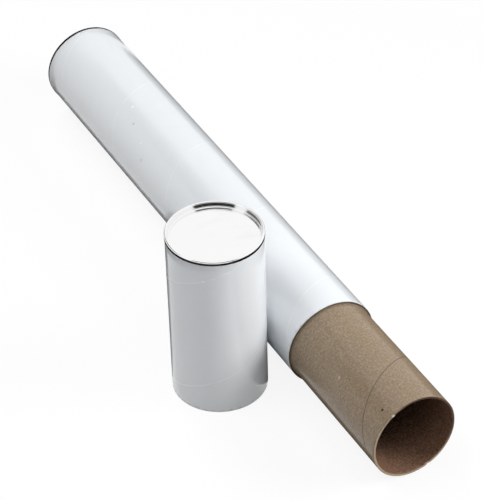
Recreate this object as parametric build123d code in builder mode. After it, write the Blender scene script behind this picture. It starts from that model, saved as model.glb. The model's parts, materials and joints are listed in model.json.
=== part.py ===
from build123d import *
from math import cos, pi, radians, sin
import os

# Three-piece mailing tube, in millimetres. A brown liner is glued into a white body and stands out of it
# as a neck. The cap, cut from the same white tube, slides over the neck until it meets the body. A pressed
# metal end closes the body and another the cap. Here the tube lies along X, its mouth towards +X, and the
# cap stands beside it on its open end. The origin is on the ground, in the middle of the two.

# Board tubes
bore_diameter = 76.2        # inside of the liner
liner_wall = 2.0
shell_wall = 2.05           # the white tube of body and cap
sliding_clearance = 0.15    # round the liner, inside the white tubes

# Lengths, the two white ones taken over the metal end
body_length = 498.0
neck_length = 140.0
cap_length = 167.5

# Where the cap stands
cap_from_far_end = 450.5
standing_gap = 0.6          # between the two white tubes

# Edges of the wound plies: a raised line on the white tubes, an open joint outside the liner
ply_pitch = 115.0           # a white ply's advance in one turn, right-handed
liner_ply_pitch = 130.0
lap_width = 1.0
lap_height = 0.18
joint_width = 0.5
joint_depth = 0.35
seam_overrun = 2.0          # past each end of the tube, before the seam is trimmed
body_seam_turn = 76.0       # degrees round the tube where each seam's helix starts
cap_seam_turn = -145.0
liner_seam_turn = -95.0

# Metal ends
tin = 0.28
seat_gap = 0.1              # between tin and board
rim_rise = 1.3              # rim's top above the board's cut edge
rim_flats = 3               # the rolled rim's half round in as many flat strips
flange_depth = 2.4          # of the flange outside the tube, below the cut edge
panel_depth = 3.9           # panel's underside below the cut edge
end_flare = 0.3             # the countersunk wall's lean, pressed into the board around it

# Worked out from the sizes above
bore_radius = bore_diameter / 2
liner_radius = bore_radius + liner_wall
shell_bore = liner_radius + sliding_clearance
shell_radius = shell_bore + shell_wall
rim_radius = shell_radius + seat_gap + tin
body_board = body_length - rim_rise
cap_board = cap_length - rim_rise
end_seat = panel_depth + seat_gap                   # room for a metal end inside its tube
total_length = body_length + neck_length

far_x = -total_length / 2                           # the body's rim
body_x = far_x + rim_rise                           # the body's cut edge under that rim
mouth_x = far_x + total_length
axis_spacing = 2 * (shell_radius + lap_height) + standing_gap
tube_y = axis_spacing / 2
cap_x = far_x + cap_from_far_end
cap_y = -axis_spacing / 2


def across_tube(x, turn=0):
    """Plane square to the lying tube, z towards the mouth, x turned up from the ground's +Y."""
    turned_x = (0, cos(radians(turn)), sin(radians(turn)))
    return Plane(origin=(x, tube_y, rim_radius), x_dir=turned_x, z_dir=(1, 0, 0))


def across_cap(z, turn=0):
    """Plane square to the standing cap, z upwards, x turned round from the ground's +X."""
    turned_x = (cos(radians(turn)), sin(radians(turn)), 0)
    return Plane(origin=(cap_x, cap_y, z), x_dir=turned_x, z_dir=(0, 0, 1))


def ply_seam(foot, length, pitch, radius, width, reach):
    """Strip along a ply's edge, reach deep on both sides of radius, trimmed to length above foot."""
    start = foot.offset(-seam_overrun)
    with BuildPart() as seam:
        with BuildLine(start):
            edge = Helix(pitch, length + 2 * seam_overrun, radius, direction=start.z_dir)
        with BuildSketch(Plane(edge @ 0, x_dir=edge @ 0 - start.origin, z_dir=edge % 0)):
            Rectangle(2 * reach, width)
        sweep(is_frenet=True)
        with BuildSketch(foot):
            Circle(radius + 2 * reach)
        extrude(amount=length, mode=Mode.INTERSECT)
    return seam.part


def metal_end(edge):
    """Pressed tin end. In the plane edge, x is the radius and y points out of the tube from its cut edge."""
    flange_r = rim_radius - tin / 2
    corner_r = shell_bore - seat_gap - tin / 2
    wall_r = corner_r + end_flare
    bend = (flange_r - wall_r) / 2
    turns = [pi * flat / rim_flats for flat in range(rim_flats + 1)]
    bend_y = rim_rise - tin / 2 - bend * max(sin(turn) for turn in turns)
    panel_y = tin / 2 - panel_depth
    with BuildPart() as end:
        with BuildSketch(edge):
            with BuildLine():
                Polyline(
                    (flange_r, -flange_depth),
                    *[(wall_r + bend + bend * cos(turn), bend_y + bend * sin(turn)) for turn in turns],
                    (corner_r, panel_y),
                    (0, panel_y),
                )
            trace(line_width=tin)
        revolve(axis=Axis(edge.origin, edge.y_dir))
    return end.part


# White body: its outer ply's lap stops short of the metal flange
with BuildPart() as body_tube:
    with BuildSketch(across_tube(body_x)):
        Circle(shell_radius)
        Circle(shell_bore, mode=Mode.SUBTRACT)
    extrude(amount=body_board)
    bore = body_tube.faces().filter_by(GeomType.CYLINDER).sort_by(SortBy.AREA)[0]
    chamfer(bore.edges().filter_by(GeomType.CIRCLE).sort_by(Axis.X)[0],
            length=end_seat, length2=end_flare, reference=bore)
    lap_start = flange_depth + lap_width
    add(ply_seam(across_tube(body_x + lap_start, body_seam_turn), body_board - lap_start,
                 ply_pitch, shell_radius, lap_width, lap_height))

# Brown liner, from the metal end's panel to the mouth
with BuildPart() as inner_tube:
    liner_length = total_length - rim_rise - end_seat
    with BuildSketch(across_tube(mouth_x - liner_length)):
        Circle(liner_radius)
        Circle(bore_radius, mode=Mode.SUBTRACT)
    extrude(amount=liner_length)
    add(ply_seam(across_tube(mouth_x - liner_length, liner_seam_turn), liner_length,
                 liner_ply_pitch, liner_radius, joint_width, joint_depth), mode=Mode.SUBTRACT)

# White cap, standing on its open end
with BuildPart() as cap_tube:
    with BuildSketch(across_cap(0)):
        Circle(shell_radius)
        Circle(shell_bore, mode=Mode.SUBTRACT)
    extrude(amount=cap_board)
    bore = cap_tube.faces().filter_by(GeomType.CYLINDER).sort_by(SortBy.AREA)[0]
    chamfer(bore.edges().filter_by(GeomType.CIRCLE).sort_by(Axis.Z)[-1],
            length=end_seat, length2=end_flare, reference=bore)
    add(ply_seam(across_cap(0, cap_seam_turn), cap_board - flange_depth - lap_width,
                 ply_pitch, shell_radius, lap_width, lap_height))

body_edge = Plane(origin=(body_x, tube_y, rim_radius), x_dir=(0, 0, 1), z_dir=(0, -1, 0))
cap_edge = Plane(origin=(cap_x, cap_y, cap_board), x_dir=(1, 0, 0), z_dir=(0, -1, 0))

pieces = {
    "body_tube": body_tube.part,
    "inner_tube": inner_tube.part,
    "body_end": metal_end(body_edge),
    "cap_tube": cap_tube.part,
    "cap_end": metal_end(cap_edge),
}

os.makedirs("parts", exist_ok=True)
for name, piece in pieces.items():
    piece.label = name
    export_step(piece, f"parts/{name}.step")
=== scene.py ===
import json
import math

import bmesh
import bpy
from mathutils import Matrix, Vector, noise

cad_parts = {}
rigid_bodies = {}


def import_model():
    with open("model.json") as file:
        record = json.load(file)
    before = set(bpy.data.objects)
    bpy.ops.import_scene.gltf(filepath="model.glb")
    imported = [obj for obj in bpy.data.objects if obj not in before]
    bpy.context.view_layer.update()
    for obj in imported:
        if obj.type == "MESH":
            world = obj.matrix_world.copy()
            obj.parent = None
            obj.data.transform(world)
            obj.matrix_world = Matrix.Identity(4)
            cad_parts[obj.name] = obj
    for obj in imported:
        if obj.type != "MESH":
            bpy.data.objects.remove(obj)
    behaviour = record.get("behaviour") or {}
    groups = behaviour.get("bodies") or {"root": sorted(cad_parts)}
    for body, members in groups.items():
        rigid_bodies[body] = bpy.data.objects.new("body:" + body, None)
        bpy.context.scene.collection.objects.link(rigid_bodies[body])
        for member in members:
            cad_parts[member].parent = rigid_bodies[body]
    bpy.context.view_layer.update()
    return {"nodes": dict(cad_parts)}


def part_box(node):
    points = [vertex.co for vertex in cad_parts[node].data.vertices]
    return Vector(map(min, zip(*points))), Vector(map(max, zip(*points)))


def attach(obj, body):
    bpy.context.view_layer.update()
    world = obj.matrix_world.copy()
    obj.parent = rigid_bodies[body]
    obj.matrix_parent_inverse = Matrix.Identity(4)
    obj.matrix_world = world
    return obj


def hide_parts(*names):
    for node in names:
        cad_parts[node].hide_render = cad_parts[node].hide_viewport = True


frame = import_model()
mm = 0.001
print("frame loaded:", sorted(frame["nodes"]))


# Where the two tubes lie, read off the frame's own boxes
def boxOf(node):
    low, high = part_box(node)
    return Vector(low), Vector(high)


bodyLow, bodyHigh = boxOf("body_tube")
linerLow, linerHigh = boxOf("inner_tube")
capLow, capHigh = boxOf("cap_tube")
bodyEndLow, _ = boxOf("body_end")
capEndLow, capEndHigh = boxOf("cap_end")
tubeAxis = (linerLow + linerHigh) / 2
capAxis = (capEndLow + capEndHigh) / 2


def lying(turn, along, radius):  # the long tube, turn counted from +Y up towards +Z
    return Vector((along, tubeAxis.y + radius * math.cos(turn), tubeAxis.z + radius * math.sin(turn)))


def standing(turn, along, radius):  # the cap, turn counted from +X towards +Y
    return Vector((capAxis.x + radius * math.cos(turn), capAxis.y + radius * math.sin(turn), along))


# ---- meshes of wound paper tubes and pressed ends

columns = 192
fullTurn = 2 * math.pi
seamReach = 12 * mm  # how far from a ply edge the materials can tell its distance
shortest = 0.15 * mm  # a row nearer than this to an end joins it


def smoothStep(low, high, value):  # also from high down to low
    share = min(1.0, max(0.0, (value - low) / (high - low)))
    return share * share * (3 - 2 * share)


def grain(seed, size, *at):  # smooth noise, about -1 to 1, at a point given in metres
    where = Vector(at) / size + Vector((seed * 17.3, seed * 5.1, seed * 9.7))
    return noise.noise(where)


def seamDistance(skin, turn, along):  # along the tube, from the nearest ply edge
    pitch = skin["pitch"]
    return (along - skin["seamAt"] - pitch * turn / fullTurn + pitch / 2) % pitch - pitch / 2


def square(turn):  # how far back an end is cut, here nowhere
    return 0.0


class TubeMesh:
    # vertices with what the materials read: distance from the ply edge, depth in the wall (0 outside,
    # 1 inside), bareness of the cut board, and the place with the winding taken out, for fibres along it
    def __init__(self, place):
        self.place = place
        self.points, self.faces = [], []
        self.seam, self.depth, self.cut, self.wind = [], [], [], []

    def vertex(self, turn, along, radius, skin, depth, cut):
        self.points.append(self.place(turn, along, radius))
        self.seam.append(min(1.0, abs(seamDistance(skin, turn, along)) / seamReach))
        self.depth.append(depth)
        self.cut.append(cut)
        unwound = turn - fullTurn * along / skin["pitch"]
        self.wind.append((radius * math.cos(unwound), radius * math.sin(unwound), along))
        return len(self.points) - 1

    def skinVertex(self, skin, turn, along):
        return self.vertex(turn, along, skin["radiusAt"](turn, along), skin, skin["depth"], 0.0)

    def face(self, corners, flip):
        kept = [c for i, c in enumerate(corners) if c != corners[i - 1]]
        if len(set(kept)) >= 3 and len(set(kept)) == len(kept):
            self.faces.append(tuple(reversed(kept)) if flip else tuple(kept))

    def skin(self, skin, inside):
        # rows follow the ply edge round the tube, so that its relief is cut in clean rows
        pitch, start, furthest = skin["pitch"], skin["start"], skin["end"]
        near = [d * mm for d in skin["rows"]]
        spacing = skin["spacing"] * mm
        steps = max(2, round((pitch - 2 * near[-1]) / spacing))
        offsets = [-d for d in reversed(near)] + [d for d in near if d > 0]
        gap = (pitch - 2 * near[-1]) / steps
        offsets += [near[-1] + gap * i for i in range(1, steps)]
        offsets = sorted(d % pitch for d in offsets)
        count = len(offsets)
        firstRow = (math.floor((start - skin["seamAt"]) / pitch) - 2) * count
        lastRow = (math.ceil((furthest - skin["seamAt"]) / pitch) + 2) * count
        starts, ends, table = [], [], {}
        for column in range(columns):
            turn = fullTurn * column / columns
            end = furthest - skin.get("cutBack", square)(turn)
            starts.append(self.skinVertex(skin, turn, start))
            ends.append(self.skinVertex(skin, turn, end))
            seamHere = skin["seamAt"] + pitch * column / columns
            for row in range(firstRow, lastRow):
                along = seamHere + pitch * (row // count) + offsets[row % count]
                if along < start + shortest:
                    table[column, row] = starts[-1]
                elif along > end - shortest:
                    table[column, row] = ends[-1]
                else:
                    table[column, row] = self.skinVertex(skin, turn, along)
        for column in range(columns):
            onward, shift = (column + 1, 0) if column + 1 < columns else (0, count)
            for row in range(firstRow, lastRow - 1):
                corners = [table.get(key) for key in ((column, row), (onward, row + shift),
                                                      (onward, row + 1 + shift), (column, row + 1))]
                if None not in corners:
                    self.face(corners, inside)
        return starts, ends

    def lip(self, fromLoop, toLoop, rings, skin, flip):
        # rings across the cut edge: (along, radius, depth in the wall, bareness) for a turn
        loops = [fromLoop]
        for ringAt in rings:
            loop = []
            for column in range(columns):
                turn = fullTurn * column / columns
                along, radius, depth, cut = ringAt(turn)
                loop.append(self.vertex(turn, along, radius, skin, depth, cut))
            loops.append(loop)
        loops.append(toLoop)
        for inner, outer in zip(loops, loops[1:]):
            for column in range(columns):
                onward = (column + 1) % columns
                self.face([inner[column], inner[onward], outer[onward], outer[column]], flip)

    def build(self, name):
        mesh = bpy.data.meshes.new(name)
        mesh.from_pydata(self.points, [], self.faces)
        for label, values in (("plyEdge", self.seam), ("wallDepth", self.depth), ("bareCut", self.cut)):
            mesh.attributes.new(label, "FLOAT", "POINT").data.foreach_set("value", values)
        flat = [number for point in self.wind for number in point]
        mesh.attributes.new("unwound", "FLOAT_VECTOR", "POINT").data.foreach_set("vector", flat)
        return finishMesh(mesh, name)


def finishMesh(mesh, name):  # without loose vertices, smooth, in the scene
    work = bmesh.new()
    work.from_mesh(mesh)
    loose = [v for v in work.verts if not v.link_faces]
    bmesh.ops.delete(work, geom=loose, context="VERTS")
    work.to_mesh(mesh)
    work.free()
    mesh.shade_smooth()
    piece = bpy.data.objects.new(name, mesh)
    bpy.context.scene.collection.objects.link(piece)
    return piece


def paperTube(name, place, tube):
    # a closed wall: outer skin, inner skin and a cut edge at both ends
    work = TubeMesh(place)
    outerStart, outerEnd = work.skin(tube["outer"], inside=False)
    innerStart, innerEnd = work.skin(tube["inner"], inside=True)
    work.lip(outerStart, innerStart, tube["startRings"], tube["outer"], flip=True)
    work.lip(outerEnd, innerEnd, tube["endRings"], tube["outer"], flip=False)
    return work.build(name)


def tubeOf(sizes, outer, inner):
    cutSizes = {key: sizes[key] for key in ("cutProfile", "cutRough", "cutWander")}
    return {"outer": outer, "inner": inner, **cutSizes}


tornSize, wanderSize, wanderMean = 1.1 * mm, 28 * mm, 0.6
bareFrom = 0.12  # share of the wall over which a skin gives way to bare board


def cutRings(tube, seed, at, outward, taper=0.0, cutBack=square):
    # rings from the outer skin to the inner one: torn fibres stand out a little, glue lines lie lower
    outer, inner = tube["outer"]["radius"], tube["inner"]["radius"]
    rings = []
    for share, drop in tube["cutProfile"]:
        def ringAt(turn, share=share, drop=drop):
            radius = outer + (inner - outer) * share
            x, y = radius * math.cos(turn), radius * math.sin(turn)
            fibres = tube["cutRough"] * mm * grain(seed + 3 * share, tornSize, x, y, 0.0)
            wander = tube["cutWander"] * mm * (grain(seed + 1, wanderSize, x, y, 0.0) - wanderMean)
            depthBack = drop * mm - fibres - wander
            bare = smoothStep(0.0, bareFrom, share) * smoothStep(1.0, 1 - bareFrom, share)
            back = cutBack(turn) + max(0.0, depthBack)
            return at - outward * back, radius + taper * share, share, bare
        rings.append(ringAt)
    return rings


# ---- white body and cap: the same wound tube, white outside

whiteTube = {
    "radius": 42.3, "bore": 40.25, "pitch": 115.0, "spacing": 3.2, "innerSpacing": 9.0,
    "rows": [0.0, 0.22, 0.42, 0.62, 1.1], "innerRows": [0.0, 1.0],
    "bodyLap": 0.07, "capLap": 0.15, "lapHalf": 0.46, "lapSoft": 0.12, "lapRunOut": 1.5,
    "wave": 0.012, "waveSizes": (34, 9),
    "cutProfile": [(0.02, 0.03), (0.09, 0.0), (0.22, 0.02), (0.36, 0.0), (0.5, 0.03), (0.64, 0.0),
                   (0.78, 0.02), (0.91, 0.0), (0.98, 0.04)],
    "cutRough": 0.05, "cutWander": 0.06, "flare": 0.3, "endSeat": 4.0, "flange": 2.4,
}


def whiteSkins(seed, lap, seamAt, start, end, lapFrom, lapTo, flareAt, flareSide):
    # the lap shows from lapFrom to lapTo and is pressed flat under the tin, whose wall widens the bore
    outerSkin = {"pitch": whiteTube["pitch"] * mm, "seamAt": seamAt, "start": start, "end": end,
                 "rows": whiteTube["rows"], "spacing": whiteTube["spacing"], "depth": 0.0,
                 "radius": whiteTube["radius"] * mm}
    innerSkin = dict(outerSkin, rows=whiteTube["innerRows"], spacing=whiteTube["innerSpacing"], depth=1.0,
                     radius=whiteTube["bore"] * mm)
    soft, runOut = whiteTube["lapSoft"], whiteTube["lapRunOut"] * mm
    broad, narrow = (size * mm for size in whiteTube["waveSizes"])

    def outerRadius(turn, along):
        radius = outerSkin["radius"]
        away = abs(seamDistance(outerSkin, turn, along)) / mm
        raised = lap * mm * (1 - smoothStep(soft, whiteTube["lapHalf"] + soft, away))
        risen = smoothStep(lapFrom, lapFrom + runOut, along)
        sunk = smoothStep(lapTo - runOut, lapTo, along)
        raised *= risen * (1 - sunk)
        x, y = radius * math.cos(turn), radius * math.sin(turn)
        wave = grain(seed, broad, x, y, along) + 0.5 * grain(seed + 4, narrow, x, y, along)
        return radius + raised + whiteTube["wave"] * mm * wave

    def innerRadius(turn, along):
        fromEnd = (along - flareAt) * flareSide
        flared = max(0.0, 1 - fromEnd / (whiteTube["endSeat"] * mm))
        return innerSkin["radius"] + whiteTube["flare"] * mm * flared

    outerSkin["radiusAt"] = outerRadius
    innerSkin["radiusAt"] = innerRadius
    return outerSkin, innerSkin


def whiteSeamAt(start, turnDegrees):  # where the ply edge crosses turn 0, from where its helix starts
    return start - whiteTube["pitch"] * mm * turnDegrees / 360


flangeEdge, beyond = (whiteTube["flange"] + 1.0) * mm, 9.0  # beyond: so far out that the lap never ends there
bodyLap = bodyLow.x + flangeEdge
bodyTube = tubeOf(whiteTube, *whiteSkins(
    3, whiteTube["bodyLap"], whiteSeamAt(bodyLap - 2 * mm, 76.0), bodyLow.x, bodyHigh.x,
    bodyLap, bodyHigh.x + beyond, bodyLow.x, 1))
bodyTube["startRings"] = cutRings(bodyTube, 11, bodyLow.x, -1, whiteTube["flare"] * mm)
bodyTube["endRings"] = cutRings(bodyTube, 13, bodyHigh.x, 1)
bodyShell = paperTube("bodyShell", lying, bodyTube)
print("white body:", len(bodyShell.data.polygons), "faces")

capTube = tubeOf(whiteTube, *whiteSkins(
    7, whiteTube["capLap"], whiteSeamAt(capLow.z - 2 * mm, -145.0), capLow.z, capHigh.z,
    capLow.z - beyond, capHigh.z - flangeEdge, capHigh.z, -1))
capTube["startRings"] = cutRings(capTube, 17, capLow.z, -1)
capTube["endRings"] = cutRings(capTube, 19, capHigh.z, 1, whiteTube["flare"] * mm)
capShell = paperTube("capShell", standing, capTube)
print("cap:", len(capShell.data.polygons), "faces")


# ---- brown liner: its plies meet in open joints, and its mouth was cut with a worn blade

liner = {
    "radius": 40.1, "bore": 38.1, "pitch": 130.0, "innerPitch": 118.0, "spacing": 3.4, "innerSpacing": 4.5,
    "rows": [0.0, 0.12, 0.2, 0.3, 0.75], "joint": 0.3, "jointFoot": 0.08, "jointHalf": 0.26,
    "curl": 0.05, "curlAt": 0.5, "curlWide": 0.4, "wave": 0.05, "waveSizes": (30, 8),
    "outerSeam": (604.4, 129.8), "innerSeam": (585.0, -37.8), "shortBy": 0.5,
    "cutProfile": [(0.02, 0.12), (0.08, 0.03), (0.18, 0.0), (0.3, 0.04), (0.42, 0.0), (0.54, 0.05),
                   (0.66, 0.0), (0.78, 0.04), (0.9, 0.02), (0.97, 0.14)],
    "cutRough": 0.12, "cutWander": 0.35, "cutLean": (1.18, 0.93),
    "nickAt": -69.0, "nickWide": 1.8, "nick": 0.8,
    "flakeAt": 121.0, "flakeWide": 2.2, "flake": 0.9, "flakeLong": 4.0,
}


def bell(turn, centre, width):  # 1 at centre, falling off round the tube, both in degrees
    away = (math.degrees(turn) - centre + 180) % 360 - 180
    return math.exp(-(away / width) ** 2)


def mouthBack(turn):  # the mouth was cut a little out of square, with a nick low on its right
    leanY, leanZ = liner["cutLean"]
    back = math.hypot(leanY, leanZ) + leanY * math.cos(turn) + leanZ * math.sin(turn)
    return (back + liner["nick"] * bell(turn, liner["nickAt"], liner["nickWide"])) * mm


def linerSkin(seed, radius, pitch, seam, side, spacing, depth):
    along, turnDegrees = seam
    skin = {"pitch": pitch * mm, "start": linerLow.x, "end": linerHigh.x - liner["shortBy"] * mm,
            "cutBack": mouthBack, "rows": liner["rows"], "spacing": spacing, "depth": depth,
            "radius": radius * mm}
    skin["seamAt"] = bodyEndLow.x + along * mm - skin["pitch"] * turnDegrees / 360
    broad, narrow = (size * mm for size in liner["waveSizes"])

    def radiusAt(turn, along):
        away = abs(seamDistance(skin, turn, along)) / mm
        groove = liner["joint"] * mm * (1 - smoothStep(liner["jointFoot"], liner["jointHalf"], away))
        curl = liner["curl"] * mm * math.exp(-((away - liner["curlAt"]) / liner["curlWide"]) ** 2)
        x, y = skin["radius"] * math.cos(turn), skin["radius"] * math.sin(turn)
        uneven = grain(seed, broad, x, y, along) + 0.4 * grain(seed + 2, narrow, x, y, along)
        wave = liner["wave"] * mm * uneven
        flake = 0.0
        if side < 0:  # where the inner ply's edge meets the cut, a flake of it stands into the mouth
            nearMouth = smoothStep(liner["flakeLong"] * mm, 0.0, skin["end"] - mouthBack(turn) - along)
            flake = liner["flake"] * mm * bell(turn, liner["flakeAt"], liner["flakeWide"]) * nearMouth
        return skin["radius"] + side * (curl - groove) + wave - flake

    skin["radiusAt"] = radiusAt
    return skin


linerTube = tubeOf(
    liner, linerSkin(23, liner["radius"], liner["pitch"], liner["outerSeam"], 1, liner["spacing"], 0.0),
    linerSkin(29, liner["bore"], liner["innerPitch"], liner["innerSeam"], -1, liner["innerSpacing"], 1.0))
linerTube["startRings"] = cutRings(linerTube, 31, linerLow.x, -1)
linerTube["endRings"] = cutRings(linerTube, 37, linerHigh.x, 1, cutBack=mouthBack)
linerPiece = paperTube("liner", lying, linerTube)
print("liner:", len(linerPiece.data.polygons), "faces")


# ---- pressed tin ends

tinEnd = {
    "sheet": 0.28, "rim": 42.67, "wallTop": 40.17, "wallFoot": 39.87, "rise": 1.3, "flange": 2.4,
    "panel": 3.62, "corner": 1.1, "wobble": 0.035, "wobbleSize": 16, "dish": 0.06, "dishSize": 30,
    "calmWithin": 10.0, "rimSteps": 18, "cornerSteps": 12, "panelSteps": 14,
}


def endProfile():
    # (radius, height over the board's cut edge) of the face that shows, from flange foot to the centre
    rim, wallTop = tinEnd["rim"], tinEnd["wallTop"]
    half = (rim - wallTop) / 2
    middle, base = rim - half, tinEnd["rise"] - half
    flangeFoot = -tinEnd["flange"]
    path = [(rim - 0.1, flangeFoot), (rim - 0.03, flangeFoot + 0.04), (rim, flangeFoot + 0.1),
            (rim, flangeFoot + 0.2), (rim, -1.7), (rim, -1.0), (rim, -0.5)]
    for step in range(tinEnd["rimSteps"] + 1):
        angle = math.pi * step / tinEnd["rimSteps"]
        path.append((middle + half * math.cos(angle), base + half * math.sin(angle)))
    corner, foot, panel = tinEnd["corner"], tinEnd["wallFoot"], -tinEnd["panel"]
    path += [(wallTop - 0.1, -0.7), (wallTop - 0.2, -1.4)]
    for step in range(tinEnd["cornerSteps"] + 1):
        angle = math.pi / 2 * step / tinEnd["cornerSteps"]
        path.append((foot - corner * (1 - math.cos(angle)), panel + corner * (1 - math.sin(angle))))
    last, steps = path[-1][0], tinEnd["panelSteps"]
    path += [(last * (1 - step / steps), panel) for step in range(1, steps)]
    return path


def underSide(top):  # the same path, one sheet further in
    sheet, under = tinEnd["sheet"], []
    for index, (radius, height) in enumerate(top):
        before, after = top[max(0, index - 1)], top[min(len(top) - 1, index + 1)]
        dx, dy = after[0] - before[0], after[1] - before[1]
        size = math.hypot(dx, dy)
        under.append((radius - sheet * dy / size, height + sheet * dx / size))
    under[0] = (top[0][0] - sheet + 0.16, top[0][1] + 0.01)  # the flange's foot is bevelled
    return [(max(0.5, radius), height) for radius, height in under]


def pressedEnd(name, place, edge, outward, seed):
    points, faces = [], []

    def lathe(path, under):
        rows, made = [], []
        for radius, height in path:
            row = []
            calm = smoothStep(0.0, tinEnd["calmWithin"], radius)
            for column in range(columns):
                turn = fullTurn * column / columns
                x, y = radius * mm * math.cos(turn), radius * mm * math.sin(turn)
                wobble = tinEnd["wobble"] * grain(seed, tinEnd["wobbleSize"] * mm, x, y, 0.0) * calm
                dish = 0.0
                if radius < tinEnd["wallFoot"] - 1.0:
                    dish = tinEnd["dish"] * (grain(seed + 5, tinEnd["dishSize"] * mm, x, y, 0.0) + 0.5)
                if radius > tinEnd["wallTop"]:  # the rim keeps inside its round
                    wobble = min(0.0, wobble)
                points.append(place(turn, edge + outward * (height + wobble + dish * calm) * mm,
                                    (radius + wobble) * mm))
                row.append(len(points) - 1)
            rows.append(row)
        points.append(place(0.0, edge + outward * (path[-1][1] + tinEnd["dish"] * 0.5) * mm, 0.0))
        for inner, outer in zip(rows, rows[1:]):
            for column in range(columns):
                onward = (column + 1) % columns
                made.append((inner[column], inner[onward], outer[onward], outer[column]))
        for column in range(columns):
            made.append((rows[-1][column], rows[-1][(column + 1) % columns], len(points) - 1))
        faces.extend(tuple(reversed(face)) if under else face for face in made)
        return rows[0]

    top = endProfile()
    firstTop = lathe(top, under=False)
    firstUnder = lathe(underSide(top), under=True)
    for column in range(columns):
        onward = (column + 1) % columns
        faces.append((firstTop[onward], firstTop[column], firstUnder[column], firstUnder[onward]))
    if outward < 0:
        faces[:] = [tuple(reversed(face)) for face in faces]
    mesh = bpy.data.meshes.new(name)
    mesh.from_pydata(points, [], faces)
    return finishMesh(mesh, name)


bodyTin = pressedEnd("bodyTin", lying, bodyLow.x, -1, 41)
capTin = pressedEnd("capTin", standing, capHigh.z, 1, 43)
print("tin ends:", len(capTin.data.polygons), "faces each")


# ---- shader node groups

def link(tree, source, target):
    tree.links.new(source, target)


def newGroup(name, inputs, outputs):
    tree = bpy.data.node_groups.new(name, "ShaderNodeTree")
    for kind, socket, value in inputs:
        made = tree.interface.new_socket(name=socket, in_out="INPUT", socket_type=kind)
        if value is not None:
            made.default_value = value
    for kind, socket in outputs:
        tree.interface.new_socket(name=socket, in_out="OUTPUT", socket_type=kind)
    entry = tree.nodes.new("NodeGroupInput")
    leave = tree.nodes.new("NodeGroupOutput")
    entry.location, leave.location = (-900, 0), (700, 0)
    return tree, entry.outputs, leave.inputs


def mathNode(tree, operation, first, second=None, third=None, clamp=False):
    node = tree.nodes.new("ShaderNodeMath")
    node.operation, node.use_clamp = operation, clamp
    for socket, value in zip(node.inputs, (first, second, third)):
        if value is None:
            continue
        if isinstance(value, (int, float)):
            socket.default_value = value
        else:
            link(tree, value, socket)
    return node.outputs[0]


def rangeNode(tree, value, low, high, toLow=0.0, toHigh=1.0):
    node = tree.nodes.new("ShaderNodeMapRange")
    link(tree, value, node.inputs["Value"])
    for socket, number in (("From Min", low), ("From Max", high), ("To Min", toLow), ("To Max", toHigh)):
        node.inputs[socket].default_value = number
    return node.outputs[0]


def noiseNode(tree, vector, scale, detail=3.0, roughness=0.55, distortion=0.0):
    node = tree.nodes.new("ShaderNodeTexNoise")
    link(tree, vector, node.inputs["Vector"])
    if isinstance(scale, (int, float)):
        node.inputs["Scale"].default_value = scale
    else:
        link(tree, scale, node.inputs["Scale"])
    node.inputs["Detail"].default_value = detail
    node.inputs["Roughness"].default_value = roughness
    node.inputs["Distortion"].default_value = distortion
    return node.outputs[0]


def stretchNode(tree, vector, scale):
    node = tree.nodes.new("ShaderNodeMapping")
    link(tree, vector, node.inputs["Vector"])
    node.inputs["Scale"].default_value = scale
    return node.outputs[0]


def colourMix(tree, share, first, second, blend="MIX"):
    node = tree.nodes.new("ShaderNodeMix")
    node.data_type, node.blend_type = "RGBA", blend
    sockets = [node.inputs[name] for name in ("Factor", "A", "B")]
    for socket, value in zip(sockets, (share, first, second)):
        if isinstance(value, (int, float)):
            socket.default_value = value
        elif isinstance(value, tuple):
            socket.default_value = (*value, 1.0)
        else:
            link(tree, value, socket)
    return node.outputs["Result"]


def layOver(tree, colour, mask, strength, shade):  # a shade over the colour, where the mask is
    return colourMix(tree, mathNode(tree, "MULTIPLY", mask, strength), colour, shade)


def makeFibreGroup():
    # paper: cloudy formation, short fibres laid along the winding, and stray flecks
    tree, given, out = newGroup(
        "paperFibre",
        [("NodeSocketVector", "Position", None), ("NodeSocketVector", "Unwound", None),
         ("NodeSocketFloat", "Fleck Density", 0.5)],
        [("NodeSocketFloat", "Cloud"), ("NodeSocketFloat", "Fibre"), ("NodeSocketFloat", "Fleck"),
         ("NodeSocketFloat", "Mottle"), ("NodeSocketFloat", "Height")])
    cloud = noiseNode(tree, given["Position"], 95.0, 5.0, 0.6)
    broad = noiseNode(tree, given["Position"], 22.0, 2.0, 0.5)
    cloudy = mathNode(tree, "MULTIPLY", cloud, 0.6)
    cloudy = mathNode(tree, "ADD", cloudy, mathNode(tree, "MULTIPLY", broad, 0.4))
    laid = stretchNode(tree, given["Unwound"], (1.0, 1.0, 0.12))
    fibre = noiseNode(tree, laid, 1500.0, 4.0, 0.65, 0.4)
    fine = noiseNode(tree, given["Position"], 2600.0, 2.0, 0.6)
    fleckNoise = noiseNode(tree, given["Position"], 420.0, 1.0, 0.4, 0.6)
    threshold = mathNode(tree, "SUBTRACT", 0.84, mathNode(tree, "MULTIPLY", given["Fleck Density"], 0.14))
    fleck = mathNode(tree, "MULTIPLY", mathNode(tree, "SUBTRACT", fleckNoise, threshold), 14.0, clamp=True)
    link(tree, rangeNode(tree, cloudy, 0.3, 0.7), out["Cloud"])
    link(tree, rangeNode(tree, fibre, 0.3, 0.7), out["Fibre"])
    link(tree, fleck, out["Fleck"])
    mottle = noiseNode(tree, given["Position"], 560.0, 3.0, 0.75, 0.5)
    link(tree, rangeNode(tree, mottle, 0.34, 0.66), out["Mottle"])
    height = mathNode(tree, "MULTIPLY", fibre, 0.6)
    height = mathNode(tree, "ADD", height, mathNode(tree, "MULTIPLY", fine, 0.4))
    link(tree, height, out["Height"])
    return tree


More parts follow.
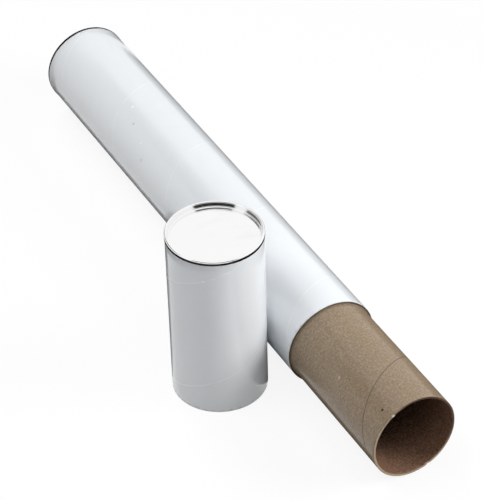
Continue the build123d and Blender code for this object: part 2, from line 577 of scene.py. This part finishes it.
def makePlyEdgeGroup():
    # Distance is the ply edge attribute, 1 at 12 mm away. Line is the edge itself, Halo the band beside it:
    # glue on the kraft, painted shade on the white board, where Line is a painted highlight.
    tree, given, out = newGroup(
        "plyEdge",
        [("NodeSocketFloat", "Distance", 1.0), ("NodeSocketFloat", "Line Width", 0.03),
         ("NodeSocketFloat", "Halo Width", 0.3), ("NodeSocketVector", "Position", None)],
        [("NodeSocketFloat", "Line"), ("NodeSocketFloat", "Halo")])
    away = given["Distance"]
    broken = rangeNode(tree, noiseNode(tree, given["Position"], 160.0, 3.0), 0.3, 0.6, 0.35, 1.0)
    line = mathNode(tree, "SUBTRACT", 1.0, mathNode(tree, "DIVIDE", away, given["Line Width"]), clamp=True)
    link(tree, mathNode(tree, "MULTIPLY", line, broken), out["Line"])
    halo = mathNode(tree, "SUBTRACT", 1.0, mathNode(tree, "DIVIDE", away, given["Halo Width"]), clamp=True)
    link(tree, mathNode(tree, "POWER", halo, 2.0), out["Halo"])
    return tree


def makeCutGroup():
    # bare board in a cut edge: plies in turn, with darker glue lines and torn fibres
    tree, given, out = newGroup(
        "cutBoard",
        [("NodeSocketFloat", "Depth", 0.0), ("NodeSocketFloat", "Plies", 4.0),
         ("NodeSocketVector", "Position", None)],
        [("NodeSocketFloat", "Glue"), ("NodeSocketFloat", "Ply"), ("NodeSocketFloat", "Height")])
    uneven = mathNode(tree, "SUBTRACT", noiseNode(tree, given["Position"], 240.0), 0.5)
    wander = mathNode(tree, "MULTIPLY", uneven, 0.22)
    layer = mathNode(tree, "MULTIPLY", mathNode(tree, "ADD", given["Depth"], wander), given["Plies"])
    inLayer = mathNode(tree, "FRACT", layer)
    fromEdge = mathNode(tree, "MINIMUM", inLayer, mathNode(tree, "SUBTRACT", 1.0, inLayer))
    glue = rangeNode(tree, fromEdge, 0.0, 0.16, 1.0, 0.0)
    tear = noiseNode(tree, given["Position"], 1400.0, 4.0, 0.7)
    link(tree, mathNode(tree, "MULTIPLY", glue, rangeNode(tree, tear, 0.3, 0.6, 0.5, 1.0)), out["Glue"])
    plyNumber = mathNode(tree, "FLOOR", layer)
    link(tree, mathNode(tree, "FRACT", mathNode(tree, "MULTIPLY", plyNumber, 0.37)), out["Ply"])
    link(tree, mathNode(tree, "SUBTRACT", tear, mathNode(tree, "MULTIPLY", glue, 0.5)), out["Height"])
    return tree


def makeScuffGroup():
    # handling: faint smudges and a few rubbed streaks
    tree, given, out = newGroup(
        "handling",
        [("NodeSocketVector", "Position", None), ("NodeSocketFloat", "Amount", 0.5)],
        [("NodeSocketFloat", "Smudge"), ("NodeSocketFloat", "Rub")])
    smudge = noiseNode(tree, given["Position"], 14.0, 4.0, 0.65, 0.5)
    rub = noiseNode(tree, stretchNode(tree, given["Position"], (0.25, 1.0, 1.0)), 180.0, 4.0, 0.7, 1.2)
    for source, low, high, name in ((smudge, 0.52, 0.72, "Smudge"), (rub, 0.62, 0.78, "Rub")):
        link(tree, mathNode(tree, "MULTIPLY", rangeNode(tree, source, low, high), given["Amount"]), out[name])
    return tree


def makeSpotGroup():
    # one small stain or rubbed spot with a ragged outline
    tree, given, out = newGroup(
        "spot",
        [("NodeSocketVector", "Position", None), ("NodeSocketVector", "Centre", None),
         ("NodeSocketFloat", "Radius", 0.001)],
        [("NodeSocketFloat", "Mask")])
    apart = tree.nodes.new("ShaderNodeVectorMath")
    apart.operation = "DISTANCE"
    link(tree, given["Position"], apart.inputs[0])
    link(tree, given["Centre"], apart.inputs[1])
    ragged = mathNode(tree, "ADD", noiseNode(tree, given["Position"], 1300.0, 2.0), 0.5)
    reach = mathNode(tree, "MULTIPLY", apart.outputs["Value"], ragged)
    reach = mathNode(tree, "DIVIDE", reach, given["Radius"])
    link(tree, rangeNode(tree, reach, 1.1, 0.5), out["Mask"])
    return tree


fibreGroup, plyEdgeGroup, cutGroup, scuffGroup, spotGroup = (
    makeFibreGroup(), makePlyEdgeGroup(), makeCutGroup(), makeScuffGroup(), makeSpotGroup())
print("node groups built")


# ---- materials

def newMaterial(name):
    material = bpy.data.materials.new(name)
    material.use_nodes = True
    tree = material.node_tree
    shader = next(node for node in tree.nodes if node.type == "BSDF_PRINCIPLED")
    return material, tree, shader


def placeGroup(tree, group, **values):
    node = tree.nodes.new("ShaderNodeGroup")
    node.node_tree = group
    for socket, value in values.items():
        target = node.inputs[socket.replace("_", " ")]
        if isinstance(value, (int, float)):
            target.default_value = value
        else:
            link(tree, value, target)
    return node.outputs


def attribute(tree, name, output):
    node = tree.nodes.new("ShaderNodeAttribute")
    node.attribute_name = name
    return node.outputs[output]


def addSpots(tree, place, colour, spots):
    # each spot: place on the tube, radius in mm, strength, colour
    for centre, radius, strength, shade in spots:
        node = tree.nodes.new("ShaderNodeGroup")
        node.node_tree = spotGroup
        link(tree, place, node.inputs["Position"])
        node.inputs["Centre"].default_value = centre
        node.inputs["Radius"].default_value = radius * mm
        colour = colourMix(tree, mathNode(tree, "MULTIPLY", node.outputs["Mask"], strength), colour, shade)
    return colour


def onTube(fromFarEnd, turnDegrees, radius):
    return lying(math.radians(turnDegrees), bodyEndLow.x + fromFarEnd * mm, radius * mm)


def objectPosition(tree):
    return tree.nodes.new("ShaderNodeTexCoord").outputs["Object"]


def bumpOnto(tree, shader, height, strength, distance):
    node = tree.nodes.new("ShaderNodeBump")
    node.inputs["Strength"].default_value = strength
    node.inputs["Distance"].default_value = distance
    link(tree, height, node.inputs["Height"])
    link(tree, node.outputs["Normal"], shader.inputs["Normal"])


whiteLook = {
    "paper": (0.835, 0.862, 0.888), "cloud": (0.785, 0.815, 0.845), "cloudShare": 0.4,
    # on the white board the halo is painted shade beside the lap; its colour also tints the smudges
    "halo": (0.77, 0.79, 0.815), "haloShare": 0.35, "haloWidth": 0.22,
    # on the white board the lap colour is a painted highlight along the ply edge
    "lap": (0.97, 0.97, 0.97), "lineShare": 0.65, "lineWidth": 0.1,
    "fleck": (0.55, 0.55, 0.56), "fleckShare": 0.5, "fleckDensity": 0.25,
    "smudgeShare": 0.25, "handling": 0.15,
    "inside": (0.40, 0.31, 0.225), "board": (0.13, 0.09, 0.062), "glue": (0.05, 0.033, 0.024), "plies": 4.0,
    "roughness": 0.5, "cloudRough": 0.06, "rubRough": 0.12, "boardRough": 0.45, "specular": 0.12,
    "coat": 1.0, "coatRoughness": 0.14, "coatIor": 1.48, "bump": 0.16, "bumpDepth": 0.12,
}
whiteSpots = [
    (onTube(143.2, 111.5, 42.3), 1.7, 1.0, (1.0, 1.0, 1.0)),
    (onTube(162.6, 125.4, 42.3), 1.3, 0.6, (0.35, 0.35, 0.36)),
    (onTube(189.0, 134.5, 42.3), 1.2, 0.8, (1.0, 1.0, 1.0)),
    (onTube(202.1, 150.2, 42.3), 1.9, 0.35, (0.45, 0.46, 0.5)),
    (standing(math.radians(-41.4), 146.3 * mm, 42.4 * mm), 1.3, 1.0, (1.0, 1.0, 1.0)),
]

kraftLook = {
    "paper": (0.284, 0.211, 0.139), "cloud": (0.236, 0.174, 0.114), "fibre": (0.345, 0.259, 0.173),
    "fibreShare": 0.25, "grain": (0.415, 0.32, 0.217), "pit": (0.185, 0.133, 0.086), "grainShare": 0.6,
    "fleck": (0.10, 0.07, 0.045), "fleckShare": 0.6, "fleckDensity": 0.7, "smudgeShare": 0.3, "handling": 0.6,
    "bore": (0.23, 0.122, 0.078), "boreCloud": (0.15, 0.075, 0.047), "boreGrain": (0.33, 0.2, 0.135),
    # the bore's dark pits, also the painted shade deep in the bore, which darkens it from the first to the
    # second distance in from the mouth, in mm
    "borePitAndShade": (0.05, 0.024, 0.015), "boreShadeSpan": (8.0, 60.0),
    "joint": (0.05, 0.034, 0.024), "lineShare": 2.0, "lineWidth": 0.028,
    "halo": (0.25, 0.19, 0.13), "haloShare": 0.4, "haloWidth": 0.3,
    "board": (0.49, 0.37, 0.255), "glue": (0.17, 0.11, 0.07), "glueShare": 0.7,
    "plyShare": 0.35, "plies": 5.0,
    # painted shade on the mouth's cut edge, darker high on its right, across the given span in mm
    "cutShade": (0.11, 0.065, 0.043), "cutShadeSpan": (-15.0, 30.0),
    "roughness": 0.6, "fibreRough": 0.12, "rubSmooth": 0.12, "specular": 0.12,
    "coat": 0.8, "coatRoughness": 0.2, "coatIor": 1.4, "bump": 0.35, "bumpDepth": 0.18,
}
# a dark speck, and the colour of the painted shadow beside the flake
speckDark, flakeShadow = (0.012, 0.01, 0.008), (0.012, 0.008, 0.006)
kraftSpots = [
    (onTube(624.2, 127.5, 40.1), 1.3, 1.0, speckDark),
    (onTube(565.8, 141.3, 40.1), 1.6, 0.6, (0.55, 0.48, 0.38)),
    (onTube(606.0, 96.0, 40.1), 0.8, 0.7, (0.13, 0.08, 0.05)),
    (onTube(636.3, 122.5, 38.9), 1.5, 1.0, (0.8, 0.72, 0.6)),
    # painted shadow beside the flake, where it stands into the mouth
    (onTube(636.0, 118.0, 38.1), 1.3, 1.0, flakeShadow),
    (onTube(636.0, 114.5, 37.9), 1.1, 0.9, (0.02, 0.012, 0.008)),
    # painted shade in the nick of the cut edge
    (onTube(637.2, -69.0, 38.9), 0.9, 0.9, (0.05, 0.03, 0.02)),
]

tinLook = {
    "tin": (0.94, 0.94, 0.94), "worn": (0.86, 0.865, 0.87), "roughness": 0.13, "rolledRough": 0.03,
    "dull": 0.24, "handling": 1.0, "bump": 0.05, "bumpDepth": 0.08,
}
innerFace = (0.95, 0.99)  # the depth in the wall at which its inner skin begins


def boardNodes(tree, look):  # what both boards are painted from
    place, depth = objectPosition(tree), attribute(tree, "wallDepth", "Fac")
    fibre = placeGroup(tree, fibreGroup, Position=place, Unwound=attribute(tree, "unwound", "Vector"),
                       Fleck_Density=look["fleckDensity"])
    seam = placeGroup(tree, plyEdgeGroup, Distance=attribute(tree, "plyEdge", "Fac"),
                      Line_Width=look["lineWidth"], Halo_Width=look["haloWidth"], Position=place)
    scuff = placeGroup(tree, scuffGroup, Position=place, Amount=look["handling"])
    cut = placeGroup(tree, cutGroup, Depth=depth, Plies=look["plies"], Position=place)
    return place, depth, fibre, seam, scuff, cut


def finishBoard(tree, shader, look, colour, rough, height):
    link(tree, colour, shader.inputs["Base Color"])
    link(tree, rough, shader.inputs["Roughness"])
    for socket, key in (("Specular IOR Level", "specular"), ("Coat Weight", "coat"),
                        ("Coat Roughness", "coatRoughness"), ("Coat IOR", "coatIor")):
        shader.inputs[socket].default_value = look[key]
    bumpOnto(tree, shader, height, look["bump"], look["bumpDepth"] * mm)


def makeWhiteBoard():
    look = whiteLook
    material, tree, shader = newMaterial("whiteBoard")
    place, depth, fibre, seam, scuff, cut = boardNodes(tree, look)
    colour = layOver(tree, look["paper"], fibre["Cloud"], look["cloudShare"], look["cloud"])
    # painted shade beside the ply edge
    colour = layOver(tree, colour, seam["Halo"], look["haloShare"], look["halo"])
    # a painted highlight along the ply edge
    colour = layOver(tree, colour, seam["Line"], look["lineShare"], look["lap"])
    colour = layOver(tree, colour, fibre["Fleck"], look["fleckShare"], look["fleck"])
    colour = layOver(tree, colour, scuff["Smudge"], look["smudgeShare"], look["halo"])
    colour = addSpots(tree, place, colour, whiteSpots)
    inside = colourMix(tree, fibre["Cloud"], look["inside"], look["board"])
    colour = colourMix(tree, rangeNode(tree, depth, *innerFace), colour, inside)
    board = colourMix(tree, cut["Glue"], look["board"], look["glue"])
    colour = colourMix(tree, attribute(tree, "bareCut", "Fac"), colour, board)
    rough = look["roughness"] - look["cloudRough"] / 2
    belowSkin = rangeNode(tree, depth, 0.02, 0.1)
    masks = {"cloudRough": fibre["Cloud"], "rubRough": scuff["Rub"], "boardRough": belowSkin}
    for share, mask in masks.items():
        rough = mathNode(tree, "ADD", mathNode(tree, "MULTIPLY", mask, look[share]), rough)
    finishBoard(tree, shader, look, colour, rough, fibre["Height"])
    return material


def makeKraftBoard():
    look = kraftLook
    material, tree, shader = newMaterial("kraftBoard")
    place, depth, fibre, seam, scuff, cut = boardNodes(tree, look)
    inside, bareCut = rangeNode(tree, depth, *innerFace), attribute(tree, "bareCut", "Fac")
    split = tree.nodes.new("ShaderNodeSeparateXYZ")
    link(tree, place, split.inputs[0])

    # the bore, with painted shade darkening it away from the mouth
    boreShade = rangeNode(tree, split.outputs["X"], *(linerHigh.x - inward * mm for inward in look["boreShadeSpan"]))
    bore = colourMix(tree, fibre["Cloud"], look["bore"], look["boreCloud"])
    bore = colourMix(tree, boreShade, bore, look["borePitAndShade"])

    colour = colourMix(tree, fibre["Cloud"], look["paper"], look["cloud"])
    colour = colourMix(tree, inside, colour, bore)
    colour = layOver(tree, colour, fibre["Fibre"], look["fibreShare"], look["fibre"])
    for end, outer, inner in ((1.0, "grain", "boreGrain"), (0.0, "pit", "borePitAndShade")):
        mottle = rangeNode(tree, fibre["Mottle"], 0.5, end)
        shade = colourMix(tree, inside, look[outer], look[inner])
        colour = layOver(tree, colour, mottle, look["grainShare"], shade)
    colour = layOver(tree, colour, fibre["Fleck"], look["fleckShare"], look["fleck"])
    colour = layOver(tree, colour, scuff["Smudge"], look["smudgeShare"], look["halo"])
    colour = layOver(tree, colour, seam["Halo"], look["haloShare"], look["halo"])
    colour = layOver(tree, colour, seam["Line"], look["lineShare"], look["joint"])

    # the cut edge, with painted shade darkening it high on its right
    board = layOver(tree, look["board"], cut["Glue"], look["glueShare"], look["glue"])
    board = layOver(tree, board, cut["Ply"], look["plyShare"], look["paper"])
    across, centre = mathNode(tree, "ADD", split.outputs["Y"], split.outputs["Z"]), tubeAxis.y + tubeAxis.z
    cutShade = rangeNode(tree, across, *(centre + offset * mm for offset in look["cutShadeSpan"]))
    board = colourMix(tree, cutShade, board, look["cutShade"])
    colour = colourMix(tree, bareCut, colour, board)
    colour = addSpots(tree, place, colour, kraftSpots)

    rough = mathNode(tree, "MULTIPLY", fibre["Fibre"], look["fibreRough"])
    rough = mathNode(tree, "ADD", rough, look["roughness"])
    rough = mathNode(tree, "SUBTRACT", rough, mathNode(tree, "MULTIPLY", scuff["Rub"], look["rubSmooth"]))
    height = mathNode(tree, "ADD", fibre["Height"], mathNode(tree, "MULTIPLY", cut["Height"], bareCut))
    height = mathNode(tree, "ADD", height, fibre["Mottle"])
    finishBoard(tree, shader, look, colour, rough, height)
    return material


def makeTinplate():
    look = tinLook
    material, tree, shader = newMaterial("tinplate")
    place = objectPosition(tree)
    scuff = placeGroup(tree, scuffGroup, Position=place, Amount=look["handling"])
    link(tree, colourMix(tree, scuff["Smudge"], look["tin"], look["worn"]), shader.inputs["Base Color"])
    rolled = noiseNode(tree, stretchNode(tree, place, (1.0, 14.0, 14.0)), 90.0, 4.0, 0.6)
    least, most = look["roughness"] - look["rolledRough"], look["roughness"] + look["rolledRough"]
    rubbed = mathNode(tree, "MULTIPLY", scuff["Rub"], look["dull"] - look["roughness"])
    rough = mathNode(tree, "ADD", rangeNode(tree, rolled, 0.3, 0.7, least, most), rubbed)
    link(tree, rough, shader.inputs["Roughness"])
    shader.inputs["Metallic"].default_value = 1.0
    bumpOnto(tree, shader, rolled, look["bump"], look["bumpDepth"] * mm)
    return material


whiteBoard, kraftBoard, tinplate = makeWhiteBoard(), makeKraftBoard(), makeTinplate()
for piece, node, body, material, slot in (
        (bodyShell, "body_tube", "tube", whiteBoard, "white_board"),
        (linerPiece, "inner_tube", "tube", kraftBoard, "kraft_board"),
        (bodyTin, "body_end", "tube", tinplate, "tinplate"),
        (capShell, "cap_tube", "cap", whiteBoard, "white_board"),
        (capTin, "cap_end", "cap", tinplate, "tinplate")):
    piece.data.materials.append(material)
    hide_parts(node)
    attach(piece, body)
print("materials on")


# ---- floor, light and camera

stage = {
    "floorSize": 8.0, "floorShadow": 0.12, "floorFade": (0.5, 1.6), "floorBounce": 0.62,
    "cardHeight": 0.0004, "cardSteps": 36, "greyCard": 0.13,
}


def whiteForView(tree, strength):  # for what the camera, gloss and glass see, else 0
    path = tree.nodes.new("ShaderNodeLightPath")
    seen = mathNode(tree, "MAXIMUM", path.outputs["Is Camera Ray"], path.outputs["Is Glossy Ray"])
    seen = mathNode(tree, "MAXIMUM", seen, path.outputs["Is Transmission Ray"])
    return mathNode(tree, "MULTIPLY", seen, strength), path


def flatPiece(name, points, faces=None):
    mesh = bpy.data.meshes.new(name)
    mesh.from_pydata(points, [], faces or [tuple(range(len(points)))])
    piece = bpy.data.objects.new(name, mesh)
    bpy.context.scene.collection.objects.link(piece)
    return piece


def dullMaterial(name):  # no gloss of its own, and glows white by what its Emission Strength says
    material, tree, shader = newMaterial(name)
    shader.inputs["Roughness"].default_value = 1.0
    shader.inputs["Specular IOR Level"].default_value = 0.0
    shader.inputs["Emission Color"].default_value = (1, 1, 1, 1)
    return material, tree, shader


# the floor is white to the eye but for its shadows, and throws less light back than it shows
half = stage["floorSize"] / 2
floor = flatPiece("floor", [(-half, -half, 0), (half, -half, 0), (half, half, 0), (-half, half, 0)])
floorMaterial, tree, shader = dullMaterial("floorPaper")
fromMiddle = tree.nodes.new("ShaderNodeVectorMath")
fromMiddle.operation = "LENGTH"
link(tree, objectPosition(tree), fromMiddle.inputs[0])
farWhite = rangeNode(tree, fromMiddle.outputs["Value"], *stage["floorFade"], 1 - stage["floorShadow"], 1.0)
seen, path = whiteForView(tree, farWhite)
shade = rangeNode(tree, path.outputs["Is Diffuse Ray"], 0.0, 1.0, stage["floorShadow"], stage["floorBounce"])
link(tree, shade, shader.inputs["Base Color"])
link(tree, seen, shader.inputs["Emission Strength"])
floor.data.materials.append(floorMaterial)

world = bpy.data.worlds.new("studio")
bpy.context.scene.world = world
world.use_nodes = True
tree = world.node_tree
background = next(node for node in tree.nodes if node.type == "BACKGROUND")
background.inputs["Color"].default_value = (1, 1, 1, 1)
seen, path = whiteForView(tree, 1.0)
link(tree, seen, background.inputs["Strength"])

middle, neckTop = (0.02, 0.0, 0.05), (0.25, 0.0428, 0.06)
lamps = {  # aimed at, azimuth from +X towards +Y and elevation in degrees, distance and size in metres, watts
    "softLeftRear": (middle, 180.0, 45.0, 1.6, 0.9, 9.3),
    "keyRightRear": (middle, 50.0, 22.0, 1.6, 0.9, 18.6),
    "leftFill": (middle, -96.0, 64.0, 1.6, 0.9, 10.8),
    "mouthSide": (middle, 10.0, 52.0, 1.6, 0.9, 4.2),
    "cameraFill": (middle, -35.0, 39.0, 1.6, 0.9, 2.6),
    "neckGlow": (neckTop, 70.0, 45.0, 0.45, 0.25, 0.12),
}


def addLamp(name, target, azimuth, elevation, distance, size, watts):
    data = bpy.data.lights.new(name, "AREA")
    data.shape, data.size, data.energy = "DISK", size, watts
    lamp = bpy.data.objects.new(name, data)
    bpy.context.scene.collection.objects.link(lamp)
    turn, rise = math.radians(azimuth), math.radians(elevation)
    away = Vector((math.cos(turn) * math.cos(rise), math.sin(turn) * math.cos(rise), math.sin(rise)))
    lamp.location = Vector(target) + distance * away
    lamp.rotation_euler = away.to_track_quat("Z", "Y").to_euler()
    lamp.visible_glossy = False
    return lamp


for name, values in lamps.items():
    addLamp(name, *values)


def makeCard(name, level):
    material, tree, shader = dullMaterial(name)
    shader.inputs["Base Color"].default_value = (0.01, 0.01, 0.01, 1)
    shader.inputs["Emission Strength"].default_value = level
    return material


blackCard, greyCard = makeCard("blackCard", 0.0), makeCard("greyCard", stage["greyCard"])


def addCard(name, points, faces=None, material=blackCard):  # seen only in gloss, to draw the dark outlines
    card = flatPiece(name, points, faces)
    card.data.materials.append(material)
    card.visible_camera = card.visible_diffuse = card.visible_shadow = False


def lowCard(name, corners):  # on the floor, in metres
    addCard(name, [(x, y, stage["cardHeight"]) for x, y in corners])


def wallCard(name, fromPoint, toPoint, height):
    (x, y), (farX, farY) = fromPoint, toPoint
    addCard(name, [(x, y, 0), (farX, farY, 0), (farX, farY, height), (x, y, height)])


def ringCard(name, pointAt, turns, inner, outer, material=blackCard):
    # part of a ring, between two turns in degrees, each edge given as a distance and a place along the axis
    steps, points = stage["cardSteps"], []
    for step in range(steps + 1):
        turn = math.radians(turns[0] + (turns[1] - turns[0]) * step / steps)
        points += [pointAt(turn, *inner), pointAt(turn, *outer)]
    addCard(name, points, [(2 * i, 2 * i + 1, 2 * i + 3, 2 * i + 2) for i in range(steps)], material)


def roundCap(turn, distance, height):
    return standing(turn, height, distance)


def roundTube(turn, distance, along):
    return lying(turn, along, distance)


farX, nearX = -0.385, 0.6  # how far the cards beside the tube reach
rightY, leftY = tubeAxis.y + 0.115, tubeAxis.y - 0.05
hugging, ringEdge = 0.0436, 0.058  # radii of the cards that lie close round a metal rim
cameraTurn = -27.3  # the camera's azimuth, seen from the cap
wallCard("cardRight", (farX, rightY), (nearX, rightY), 0.08)
# black cards on the floor where the shadows fall, standing in for those shadows as painted shadow seen in
# gloss
lowCard("shadowCardUnderTube", [(farX, leftY), (nearX, leftY), (nearX, rightY), (farX, rightY)])
lowCard("shadowCardLeftOfCap", [(0.112, -0.08), (-0.09, 0.0), (-0.18, -0.14)])
ringCard("cardBeyondEnd", roundTube, (5, 235), (hugging, -0.330), (ringEdge, -0.330))
ringCard("cardCamera", roundCap, (cameraTurn - 51, cameraTurn + 49), (0.87, 0.385), (0.55, 0.877))
ringCard("cardLeft", roundCap, (cameraTurn - 156, cameraTurn - 84), (0.85, 0.475), (0.64, 0.8), greyCard)
ringCard("cardBelowRim", roundCap, (cameraTurn - 150, cameraTurn + 150),
         (hugging, 0.1555), (ringEdge, 0.1555))
ringCard("cardBehindRim", roundCap, (cameraTurn + 90, cameraTurn + 270), (hugging, 0.1665), (0.05, 0.1665))

view = {  # as fitted to the photograph: metres, degrees, and the focal length and height in pixels
    "place": (1.50898, -0.72689, 1.38091), "azimuth": 62.759, "elevation": 38.765, "roll": -1.770,
    "focal": 2334.2, "height": 500, "sensor": 36.0,
}
turn, rise, roll = (math.radians(view[key]) for key in ("azimuth", "elevation", "roll"))
forward = Vector((-math.sin(turn) * math.cos(rise), math.cos(turn) * math.cos(rise), -math.sin(rise)))
level = Vector((math.cos(turn), math.sin(turn), 0))
upright = level.cross(forward)
right = math.cos(roll) * level + math.sin(roll) * upright
up = math.cos(roll) * upright - math.sin(roll) * level
cameraData = bpy.data.cameras.new("camera")
cameraData.sensor_width = view["sensor"]
cameraData.lens = view["focal"] / view["height"] * view["sensor"]
camera = bpy.data.objects.new("camera", cameraData)
bpy.context.scene.collection.objects.link(camera)
camera.matrix_world = Matrix((
    (right.x, up.x, -forward.x, view["place"][0]),
    (right.y, up.y, -forward.y, view["place"][1]),
    (right.z, up.z, -forward.z, view["place"][2]),
    (0, 0, 0, 1)))
bpy.context.scene.camera = camera
bpy.context.scene.view_settings.view_transform = "Standard"
print("stage, light and camera ready")
